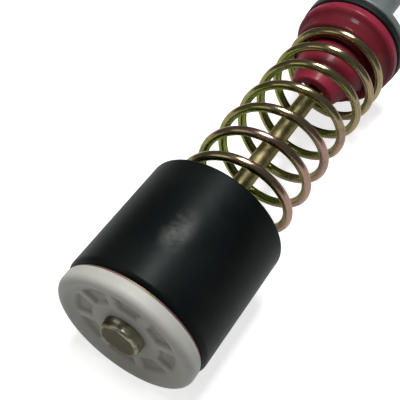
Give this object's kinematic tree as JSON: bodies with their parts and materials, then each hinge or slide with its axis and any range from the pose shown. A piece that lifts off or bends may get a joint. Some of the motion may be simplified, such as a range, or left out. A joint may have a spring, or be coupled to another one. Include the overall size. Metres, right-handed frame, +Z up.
{
  "type": "washing machine suspension spring",
  "caption": "Sprung suspension unit: a coil spring on a headed rod, between a sliding seat with a flanged bush and a lower seat with a rubber damping sleeve.",
  "frame": {"origin": "middle of the rod head's lower face, the lowest point of the hanging unit", "axes": "+Z up along the rod, from its head to its free upper end; -Y is the side that the picture shows"},
  "size_m": [0.044, 0.044, 0.1989],
  "materials": {
    "rod": "zinc plated, yellow passivated",
    "lower_seat": "natural white, slightly translucent",
    "seat_plate": "zinc plated, yellow passivated, iridescent",
    "damping_sleeve": "satin moulded rubber",
    "spring": "zinc plated, yellow passivated, iridescent",
    "upper_seat": "satin gloss moulded plastic",
    "rubber_ring": "matt rubber",
    "guide_bush": "satin moulded plastic"
  },
  "bodies": {
    "rod_assembly": {"rod": "rod", "lower_seat": "lower_seat", "seat_plate": "seat_plate", "damping_sleeve": "damping_sleeve", "spring": "spring"},
    "upper_assembly": {"upper_seat": "upper_seat", "rubber_ring": "rubber_ring", "guide_bush": "guide_bush"}
  },
  "joints": [
    {"name": "spring_travel", "type": "slide", "parent": "rod_assembly", "child": "upper_assembly", "axis": [0, 0, 1], "range_m": [-0.075, 0], "stiffness_N_per_m": 2450, "deforming": ["spring"]}
  ]
}
